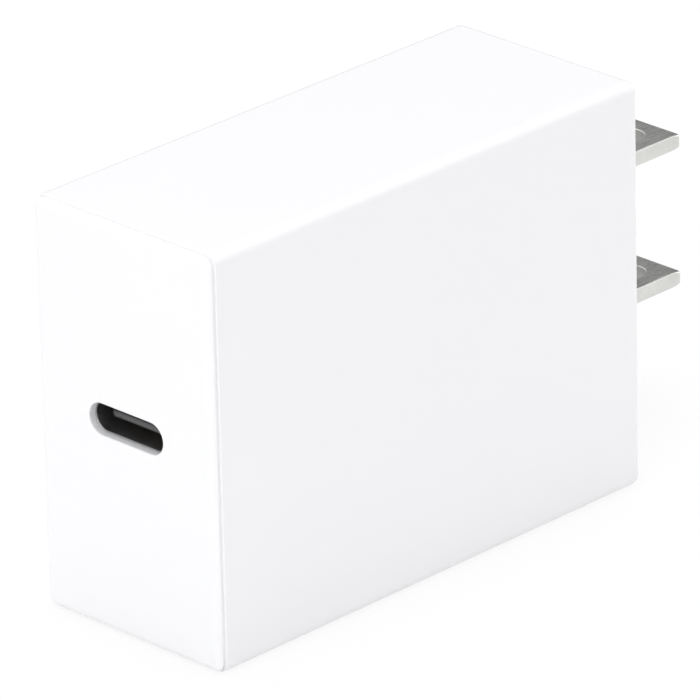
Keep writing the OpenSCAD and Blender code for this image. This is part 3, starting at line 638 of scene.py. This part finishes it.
def rail_patches(settings):
    """Board rails on the floor and the ceiling of the case, and the two pegs that locate the blade holder."""
    fit, rail_h, rail_t = 0.1 * MM, 1.6 * MM, 1.2 * MM
    front_l, rear_l = 5.0 * MM, 1.5 * MM
    peg_l, peg_r, peg_reach, peg_chamfer = 2.0 * MM, 1.0 * MM, 3.0 * MM, 0.2 * MM
    wall_y, low, high = BODY_T / 2 - settings.wall, settings.wall, BODY_H - settings.wall
    near, far = BOARD_LOW.y - fit, BOARD_HIGH.y + fit
    spans = [
        (BOARD_LOW.x, far, BOARD_HIGH.x, wall_y + SINK),
        (BOARD_LOW.x, near - rail_t, BOARD_LOW.x + front_l, near),
        (BOARD_HIGH.x - rear_l, near - rail_t, BOARD_HIGH.x, near),
    ]
    bars = [
        rounded_bar((x0, y0, z0), (x1, y1, z1), BAR_EDGE)
        for x0, y0, x1, y1 in spans
        for z0, z1 in ((low - SINK, low + rail_h), (high - rail_h, high + SINK))
    ]
    x_inner = X_REAR - settings.wall
    pegs = [
        pin(x_inner - peg_l, x_inner + SINK, BLADE_Y + y, BLADE_Z, peg_r, peg_chamfer)
        for y in (-peg_reach, peg_reach)
    ]
    return bars + pegs


def cap_patches(settings):
    """Front cap and its two shelves for the port board.

    The cap is one ring of sections, from the mouth over the face, the flange, the groove and the skirt,
    and back inside to the mouth.

    The rows round the mouth are slot shapes whose points lie in the same directions, seen from the port's
    middle, as the points of the face's outline, so that the face between them is flat and even."""
    r, wall, gap, snap_h = settings.edge_radius, settings.wall, settings.skirt_gap, settings.snap_height
    half_w, half_h = BODY_T / 2, BODY_H / 2
    tube_w, tube_h = TUBE_HIGH.y - TUBE_LOW.y, 2 * (TUBE_HIGH.z - Z_PORT)
    face = frame_loop(half_w - r, half_h - r, 0.0, (0, Z_MID))

    def mouth(x, extra):
        return port_ring(x, settings.mouth_width + 2 * extra, settings.mouth_height + 2 * extra, face)

    def ring(x, inset, radius):
        return along_x(x, frame_loop(half_w - inset, half_h - inset, radius, (0, Z_MID)))

    x_lip, x_flange, x_plate = X_FRONT + settings.lip, X_FRONT + settings.flange, X_FRONT + settings.plate
    soft = settings.mouth_round
    rows = [mouth(x_lip, 0.0)]
    for turn in bend(SOFT):
        rows.append(mouth(X_FRONT + soft * (1 - sin(turn)), soft * (1 - cos(turn))))
    rows += [rows[-1] * (1 - near) + along_x(X_FRONT, face) * near for near in FACE_RINGS]
    last_turn = np.arccos(1 - settings.flange / r)
    for turn in bend(ARC, last_turn):
        rows.append(ring(X_FRONT + r * (1 - cos(turn)), r * (1 - sin(turn)), r * sin(turn)))
    skirt, lead_in = wall + gap, 0.2 * MM
    x_snap = X_SKIRT_END - SNAP_FROM_END
    plain = frame_loop(half_w - skirt, half_h - skirt, r, (0, Z_MID))
    rows += [
        ring(x_flange, settings.groove_depth, r),
        ring(X_SEAM, settings.groove_depth, r),
        ring(X_SEAM, skirt, r),
        along_x(x_snap - snap_h, plain),
        along_x(x_snap, snapped(plain, half_w - skirt, half_h - skirt, snap_h)),
        along_x(x_snap + snap_h, plain),
        ring(X_SKIRT_END - lead_in, skirt, r),
        ring(X_SKIRT_END, skirt + lead_in, r),
        ring(X_SKIRT_END, skirt + settings.skirt, 0.0),
        ring(x_plate, skirt + settings.skirt, 0.0),
    ]
    rows += [port_ring(x, tube_w + 2 * gap, tube_h + 2 * gap, face) for x in (x_plate, x_lip)]
    shelf_w, shelf_l, shelf_h, shelf_y = 2.0 * MM, 2.0 * MM, 1.2 * MM, 2.0 * MM
    top = PORT_BOARD_LOW.z
    shelves = [
        rounded_bar(
            (x_plate - SINK, y - shelf_w / 2, top - shelf_h),
            (x_plate + shelf_l, y + shelf_w / 2, top),
            BAR_EDGE,
        )
        for y in (-shelf_y, shelf_y)
    ]
    return [skin(rows, wrap_rows=True), *shelves]


# ---------- Plug blades ----------

# How far inside the rear wall's face the two halves of a blade meet
JOIN_DEPTH = 0.9 * MM
# Rings of points between a hole and the flat's edge, as shares of the way, closest where the bevel starts
FLAT_RINGS = (0.0, 0.04, 0.3, 0.5, 0.56, 0.62, 0.8, 0.97, 1.0)


def strip_half(settings, x_end, x_join, hole_x, hole_r, corner):
    """Half of a blade lying flat, from its free end to the joining line, as a ring round its hole.

    A row starts on the hole's wall, goes out over its chamfer and the flat, round the edge and back
    underneath. On the joining line the edge rows have no faces, so that the two halves merge there."""
    edge, chamfer, half_w, half_t = settings.edge, settings.hole_chamfer, BLADE_W / 2, BLADE_T / 2
    forward = x_end > x_join
    corners = (corner, 0.0, 0.0, corner) if forward else (0.0, corner, corner, 0.0)

    def outline(inset):
        stop = x_end - inset if forward else x_end + inset
        radii = np.maximum(np.array(corners) - inset, 0.0) if corner else 0.0
        return frame_loop(abs(stop - x_join) / 2, half_w - inset, radii, ((stop + x_join) / 2, 0.0))

    whole = outline(0.0)

    def bore(radius):
        # A round hole is a slot as high as it is wide
        centre = (hole_x, 0.0)
        return cast(stadium(2 * radius, 2 * radius, centre), centre, whole)

    flat = outline(edge)
    rim = bore(hole_r + chamfer)
    rows = [(half_t - chamfer, bore(hole_r))]
    rows += [(half_t, rim + near * (flat - rim)) for near in FLAT_RINGS]
    first_edge = len(rows) - 1
    for turn in bend(SOFT)[1:]:
        rows.append((half_t - edge + edge * cos(turn), outline(edge * (1 - sin(turn)))))
    rows += [(-z, loop) for z, loop in reversed(rows)]
    count = len(rows)
    keep = np.ones((count, COLUMNS), bool)
    side = np.arange(ARC + FLAT, ARC + FLAT + 2 * ARC + 2 * UPRIGHT)
    if not forward:
        side = np.arange(COLUMNS - ARC - 2 * UPRIGHT, COLUMNS + ARC) % COLUMNS
    keep[first_edge : count - 1 - first_edge, side] = False
    return skin([along_z(z, loop) for z, loop in rows], wrap_rows=True, keep=keep)


def blade_patches(settings, height):
    """One blade at a height: two merged halves, thinned towards the tip over the bevel's length."""
    x_join = X_REAR - JOIN_DEPTH
    x_hole, x_lock = X_TIP - settings.hole_to_tip, (HOLDER_LOW.x + HOLDER_HIGH.x) / 2
    halves = [
        strip_half(settings, X_TIP, x_join, x_hole, settings.hole / 2, settings.tip_corner),
        strip_half(settings, X_ROOT, x_join, x_lock, settings.lock_hole / 2, 0.0),
    ]
    placed = []
    for points, faces in halves:
        points = points.copy()
        into_tip = np.clip((points[:, 0] - X_TIP + settings.tip_bevel) / settings.tip_bevel, 0, 1)
        points[:, 2] *= 1 - into_tip * settings.tip_drop / (BLADE_T / 2)
        placed.append((points + [0.0, BLADE_Y, height], faces))
    return placed


# ---------- Outlet ----------


def tube_patches(settings):
    """Drawn steel tube with four solder legs.

    Its slot-shaped sections go along the outside, round a half-circle rim and back along the inside."""
    wall, half = settings.tube_wall, settings.tube_wall / 2
    width = TUBE_HIGH.y - TUBE_LOW.y - wall
    height = 2 * (TUBE_HIGH.z - Z_PORT) - wall
    towards = frame_loop(width / 2, width / 2, 0.0, (0.0, Z_PORT))
    leg_places, leg_edge = (1.7 * MM, 5.4 * MM), 0.1 * MM

    def ring(x, extra):
        return port_ring(x, width + 2 * extra, height + 2 * extra, towards)

    rows = [ring(TUBE_HIGH.x, half)]
    for turn in bend(RIM, pi):
        rows.append(ring(TUBE_LOW.x + half * (1 - sin(turn)), half * cos(turn)))
    rows.append(ring(TUBE_HIGH.x, -half))
    legs = [
        rounded_bar(
            (TUBE_LOW.x + x, side * width / 2 - half, TUBE_LOW.z),
            (TUBE_LOW.x + x + settings.leg, side * width / 2 + half, Z_PORT),
            leg_edge,
        )
        for x in leg_places
        for side in (-1, 1)
    ]
    return [skin(rows, wrap_rows=True), *legs]


def tongue_patches(settings):
    """Moulded insulator: a plug that closes the tube, a thick step and the thin tongue with a round nose.

    The tongue is its plan outline stacked along Z. At the angle a round its edge, of radius e, the plan is
    drawn in by e (1 - cos a) and stands e sin a above or below the flat part of the side."""
    half_w, half_t = settings.tongue_width / 2, settings.tongue_thickness / 2
    nose, edge = settings.nose, settings.nose_edge
    plug_l, plug_edge, sink = 1.9 * MM, 0.1 * MM, 0.3 * MM
    step_l, step_t, step_edge = 0.9 * MM, 1.5 * MM, 0.12 * MM
    x_tip, x_back = TONGUE_LOW.x, TONGUE_HIGH.x
    x_step = x_back - plug_l
    half_l, x_mid = (x_step + sink - x_tip) / 2, (x_step + sink + x_tip) / 2

    def plan(inset, z):
        radii = np.array([0.0, nose - inset, nose - inset, 0.0])
        return along_z(Z_PORT + z, frame_loop(half_l - inset, half_w - inset, radii, (x_mid, 0.0)))

    seam = np.broadcast_to((x_mid, 0.0), (COLUMNS, 2))
    rows = [along_z(Z_PORT - half_t, seam)]
    for side in (-1, 1):
        for turn in bend(TONGUE_EDGE, side * pi / 2)[::side]:
            rows.append(plan(edge * (1 - cos(turn)), side * (half_t - edge) + edge * sin(turn)))
    rows.append(along_z(Z_PORT + half_t, seam))
    tongue = skin(rows)
    step = rounded_bar(
        (x_step - step_l, -half_w, Z_PORT - step_t / 2),
        (x_step + sink, half_w, Z_PORT + step_t / 2),
        step_edge,
    )
    width, height = TONGUE_HIGH.y - TONGUE_LOW.y, TONGUE_HIGH.z - TONGUE_LOW.z
    centre = (0.0, Z_PORT)
    towards = frame_loop(width / 2, width / 2, 0.0, centre)
    middle = np.broadcast_to(centre, towards.shape)
    plug = [
        along_x(x_step, middle),
        port_ring(x_step, width - 2 * plug_edge, height - 2 * plug_edge, towards),
        port_ring(x_step + plug_edge, width, height, towards),
        port_ring(x_back, width, height, towards),
        along_x(x_back, middle),
    ]
    return [tongue, step, skin(plug)]


# ---------- Stage ----------

# Direction from the body's middle, distance and width of each lamp, in metres
LAMPS = {
    "key": ((-1.0, -0.25, 0.55), 0.7, 0.6),
    "fill": ((0.1, -1.0, 0.35), 0.8, 0.7),
    "top": ((0.1, 0.15, 1.0), 0.7, 0.6),
    "rim": ((1.0, -0.12, 0.15), 0.7, 0.5),
}
# Direction from the blades, distance and half width of the grey card
CARD_DIRECTION = (1.0, 1.0, 0.62)
CARD_DISTANCE = 0.12
CARD_REACH = 0.075
# Half width of the floor, points along it, and how far it lies under the case
FLOOR_REACH = 1.5
FLOOR_POINTS = 13
FLOOR_DROP = 0.02 * MM
BLACK = (0, 0, 0, 1)
WHITE = (1, 1, 1, 1)


def add_stage_mesh(name, points, faces, finish):
    """A floor or card, which isn't part of the adapter."""
    mesh = bpy.data.meshes.new(name)
    mesh.from_pydata(points, [], faces)
    mesh.materials.append(finish.material)
    made = bpy.data.objects.new(name, mesh)
    bpy.context.scene.collection.objects.link(made)
    return made


def seen_directly(tree):
    """One for rays from the camera and for mirror and glass rays, and nought for the rest."""
    path = tree.nodes.new("ShaderNodeLightPath")
    total = path.outputs["Is Camera Ray"]
    for name in ("Is Glossy Ray", "Is Transmission Ray"):
        largest = tree.nodes.new("ShaderNodeMath")
        largest.operation = "MAXIMUM"
        tree.links.new(total, largest.inputs[0])
        tree.links.new(path.outputs[name], largest.inputs[1])
        total = largest.outputs[0]
    return total


def add_world(settings):
    """White to the camera and in reflections, dimmer as a source of light."""
    world = bpy.data.worlds.new("studio")
    bpy.context.scene.world = world
    world.use_nodes = True
    tree = world.node_tree
    background = next(n for n in tree.nodes if n.type == "BACKGROUND")
    background.inputs["Color"].default_value = WHITE
    strength = tree.nodes.new("ShaderNodeMapRange")
    strength.inputs["To Min"].default_value = settings.ambient
    strength.inputs["To Max"].default_value = 1.0
    tree.links.new(seen_directly(tree), strength.inputs["Value"])
    tree.links.new(strength.outputs["Result"], background.inputs["Strength"])


def add_floor(settings):
    """Level floor: matt, and mostly plain white where the camera or a reflection looks at it."""
    line = np.linspace(-FLOOR_REACH, FLOOR_REACH, FLOOR_POINTS)
    x, y = np.meshgrid(line, line)
    points, faces = skin(list(np.stack([x, y, np.full_like(x, -FLOOR_DROP)], -1)), wrap_columns=False)
    finish = Finish("floor_paper")
    finish.set(Base_Color=(*settings.floor, 1), Roughness=0.9, Specular_IOR_Level=0.1)
    glow = finish.node("ShaderNodeEmission", {"Color": WHITE, "Strength": 1.0})
    mix = finish.node("ShaderNodeMixShader")
    direct = seen_directly(finish.tree)
    plain = finish.node("ShaderNodeMath", {0: direct, 1: 1 - settings.shadow}, operation="MULTIPLY")
    finish.feed(mix.inputs[0], plain.outputs[0])
    finish.feed(mix.inputs[1], finish.shader.outputs[0])
    finish.feed(mix.inputs[2], glow.outputs[0])
    output = next(n for n in finish.tree.nodes if n.type == "OUTPUT_MATERIAL")
    finish.feed(output.inputs["Surface"], mix.outputs[0])
    add_stage_mesh("floor", points.tolist(), faces.tolist(), finish)


def add_card(settings):
    """Grey card behind the adapter and above it, which only reflections see."""
    away = Vector(CARD_DIRECTION).normalized()
    middle = Vector((X_TIP, BLADE_Y, Z_MID)) + away * CARD_DISTANCE
    across = away.cross(Vector((0, 0, 1))).normalized()
    upward = across.cross(away)
    corners = [tuple(middle + CARD_REACH * (int(u) * across + int(v) * upward)) for u, v in QUARTERS]
    finish = Finish("card_grey")
    finish.set(Base_Color=BLACK, Roughness=1.0, Specular_IOR_Level=0.0)
    finish.set(Emission_Color=WHITE, Emission_Strength=settings.card)
    card = add_stage_mesh("card", corners, [(0, 1, 2, 3)], finish)
    for ray in ("camera", "diffuse", "transmission", "shadow", "volume_scatter"):
        setattr(card, "visible_" + ray, False)


def add_lamp(name, power):
    """Square soft lamp that looks at the body's middle from a direction."""
    towards, distance, width = LAMPS[name]
    light = bpy.data.lights.new(name, "AREA")
    light.energy, light.size = power, width
    lamp = bpy.data.objects.new(name, light)
    bpy.context.scene.collection.objects.link(lamp)
    middle = Vector(((X_FRONT + X_REAR) / 2, 0, Z_MID))
    away = Vector(towards).normalized()
    lamp.location = middle + away * distance
    lamp.rotation_euler = (-away).to_track_quat("-Z", "Y").to_euler()


def add_camera(settings):
    """Long-lens camera given by its direction from the body, its roll and the point it aims at."""
    turn, lift, roll = radians(settings.azimuth), radians(settings.elevation), radians(settings.roll)
    back = Vector((-cos(turn) * cos(lift), -sin(turn) * cos(lift), sin(lift)))
    level = Vector((sin(turn), -cos(turn), 0))
    upright = back.cross(level)
    right = cos(roll) * level + sin(roll) * upright
    up = cos(roll) * upright - sin(roll) * level
    foot = Vector(((X_FRONT + X_REAR) / 2, 0, 0))
    data = bpy.data.cameras.new("camera")
    data.lens = settings.lens
    camera = bpy.data.objects.new("camera", data)
    bpy.context.scene.collection.objects.link(camera)
    stand = Matrix((right, up, back)).transposed().to_4x4()
    stand.translation = foot + back * settings.distance + right * settings.aim_side + up * settings.aim_up
    camera.matrix_world = stand
    bpy.context.scene.camera = camera


# ---------- Operators ----------


class ADAPTER_OT_stage(bpy.types.Operator):
    """Set up the camera, the lamps, the world and the floor"""

    bl_idname = "adapter.stage"
    bl_label = "Studio"

    def execute(self, context):
        settings = context.scene.adapter_stage
        add_world(settings)
        add_floor(settings)
        add_card(settings)
        for name in LAMPS:
            add_lamp(name, getattr(settings, name))
        add_camera(settings)
        context.scene.view_settings.view_transform = "Standard"
        return {"FINISHED"}


class ADAPTER_OT_case(bpy.types.Operator):
    """Build the moulded shell and its front cap"""

    bl_idname = "adapter.case"
    bl_label = "Case"

    def execute(self, context):
        settings = context.scene.adapter_housing
        finish = moulded_plastic("case_white", settings.plastic, settings.gloss)
        shell = shell_patches(settings) + rail_patches(settings)
        make_piece("case_shell", shell, finish, ["main_shell"])
        make_piece("case_front", cap_patches(settings), finish, ["front_cap"])
        return {"FINISHED"}


class ADAPTER_OT_blades(bpy.types.Operator):
    """Build the two plug blades"""

    bl_idname = "adapter.blades"
    bl_label = "Blades"

    def execute(self, context):
        settings = context.scene.adapter_plug
        hole = ((X_TIP - settings.hole_to_tip, BLADE_Y, 0.0), settings.hole / 2)
        # The hole's wall gets a darker colour as painted shade, and the duller roughness of a sheared wall
        finish = rolled_metal("nickel_plate", settings.metal, settings.gloss, shaded_hole=hole)
        for name, low in (("upper_blade", UPPER_LOW), ("lower_blade", LOWER_LOW)):
            patches = blade_patches(settings, low.z + BLADE_T / 2)
            make_piece(name + "_plated", patches, finish, [name])
        return {"FINISHED"}


class ADAPTER_OT_outlet(bpy.types.Operator):
    """Build the receptacle's tube and tongue, and gild its contacts"""

    bl_idname = "adapter.outlet"
    bl_label = "Outlet"

    def execute(self, context):
        settings = context.scene.adapter_outlet
        steel = rolled_metal("drawn_steel", settings.steel, gloss=0.42, along=(0.2, 1, 1))
        black = moulded_plastic("black_nylon", settings.insulator, gloss=0.32, grain=0.2 * MM)
        gold = rolled_metal("gold_flash", settings.gold, gloss=0.22)
        make_piece("outlet_tube", tube_patches(settings), steel, ["port_shell"])
        make_piece("outlet_tongue", tongue_patches(settings), black, ["port_tongue"])
        dress(["port_contacts"], gold)
        return {"FINISHED"}


class ADAPTER_OT_inside(bpy.types.Operator):
    """Give the boards and the parts on them their finishes"""

    bl_idname = "adapter.inside"
    bl_label = "Inside"

    def execute(self, context):
        settings = context.scene.adapter_inside
        copper = rolled_metal("copper_sheet", settings.copper, gloss=0.3)
        black = moulded_plastic("package_black", (0.012, 0.012, 0.014), gloss=0.45, grain=0.1 * MM)
        laminate = circuit_laminate("solder_mask", settings.mask)
        wire, tape = settings.wire_pitch, 4 * settings.wire_pitch
        finishes = {
            "choke_winding": wound_wire("enamelled_wire", settings.copper, gloss=0.25, pitch=wire, axis="X"),
            "transformer_winding": wound_wire(
                "winding_tape", settings.tape, gloss=0.3, pitch=tape, axis="Y"
            ),
            "transformer_core": speckled("ferrite", (0.028, 0.028, 0.031), gloss=0.5, grain=0.3 * MM),
            "transformer_bobbin": moulded_plastic("phenolic", (0.045, 0.03, 0.02), gloss=0.5),
            "transformer_pins": speckled(
                "tinned_wire", (0.62, 0.62, 0.6), gloss=0.3, grain=0.2 * MM, contrast=0.1, metallic=1.0
            ),
            "choke_core": speckled("powder_coat", (0.04, 0.17, 0.07), gloss=0.45, grain=0.3 * MM),
            "bulk_capacitors": speckled(
                "shrink_sleeve", (0.01, 0.012, 0.018), gloss=0.28, grain=1.0 * MM, contrast=0.1, depth=0.05
            ),
            "output_capacitors": speckled(
                "drawn_can", (0.62, 0.63, 0.65), gloss=0.32, grain=0.4 * MM, contrast=0.06, metallic=1.0
            ),
            "safety_capacitor": moulded_plastic("film_box", (0.72, 0.48, 0.02), gloss=0.4),
            "fuse": moulded_plastic("fuse_case", (0.075, 0.025, 0.012), gloss=0.4),
            "y_capacitor": speckled(
                "blue_dip", (0.015, 0.07, 0.38), gloss=0.3, grain=1.2 * MM, contrast=0.12
            ),
            "thermistor": speckled(
                "green_dip", (0.012, 0.055, 0.015), gloss=0.35, grain=1.2 * MM, contrast=0.15
            ),
            "blade_holder": moulded_plastic(
                "glass_filled_nylon", (0.74, 0.74, 0.72), gloss=0.55, grain=0.2 * MM
            ),
            "thermal_pad": speckled("silicone_pad", (0.24, 0.29, 0.40), gloss=0.75, grain=0.4 * MM),
            "insulation_sheet": moulded_plastic("polyester_film", (0.72, 0.66, 0.36), gloss=0.2),
        }
        for name, finish in finishes.items():
            dress([name], finish)
        dress(["main_board", "port_board"], laminate)
        dress(["heat_spreader", "blade_contacts"], copper)
        chips = ["optocoupler", "bridge_rectifier", "power_switch", "rectifier_switch"]
        dress(chips + ["input_controller", "port_controller", "choke_base"], black)
        return {"FINISHED"}


class ADAPTER_PT_panel(bpy.types.Panel):
    """Lists the pieces of the adapter and their sizes"""

    bl_label = "Power adapter"
    bl_idname = "ADAPTER_PT_panel"
    bl_space_type = "VIEW_3D"
    bl_region_type = "UI"
    bl_category = "Adapter"

    def draw(self, context):
        for operator, settings in STEPS:
            box = self.layout.box()
            box.operator(operator.bl_idname)
            group = getattr(context.scene, settings)
            for key in group.bl_rna.properties.keys():
                if key not in ("rna_type", "name"):
                    box.prop(group, key)


GROUPS = {
    "adapter_stage": StageSettings,
    "adapter_housing": HousingSettings,
    "adapter_plug": PlugSettings,
    "adapter_outlet": OutletSettings,
    "adapter_inside": InsideSettings,
}
STEPS = (
    (ADAPTER_OT_stage, "adapter_stage"),
    (ADAPTER_OT_case, "adapter_housing"),
    (ADAPTER_OT_blades, "adapter_plug"),
    (ADAPTER_OT_outlet, "adapter_outlet"),
    (ADAPTER_OT_inside, "adapter_inside"),
)


def register():
    """Registers the settings, the operators and the panel."""
    for name, group in GROUPS.items():
        bpy.utils.register_class(group)
        setattr(bpy.types.Scene, name, bpy.props.PointerProperty(type=group))
    for operator, _ in STEPS:
        bpy.utils.register_class(operator)
    bpy.utils.register_class(ADAPTER_PT_panel)


def unregister():
    """Takes them away again, last one first."""
    bpy.utils.unregister_class(ADAPTER_PT_panel)
    for operator, _ in reversed(STEPS):
        bpy.utils.unregister_class(operator)
    for name, group in reversed(GROUPS.items()):
        delattr(bpy.types.Scene, name)
        bpy.utils.unregister_class(group)


def main():
    """Builds everything in order."""
    register()
    bpy.ops.adapter.stage()
    bpy.ops.adapter.case()
    bpy.ops.adapter.blades()
    bpy.ops.adapter.outlet()
    bpy.ops.adapter.inside()


if __name__ == "__main__":
    main()
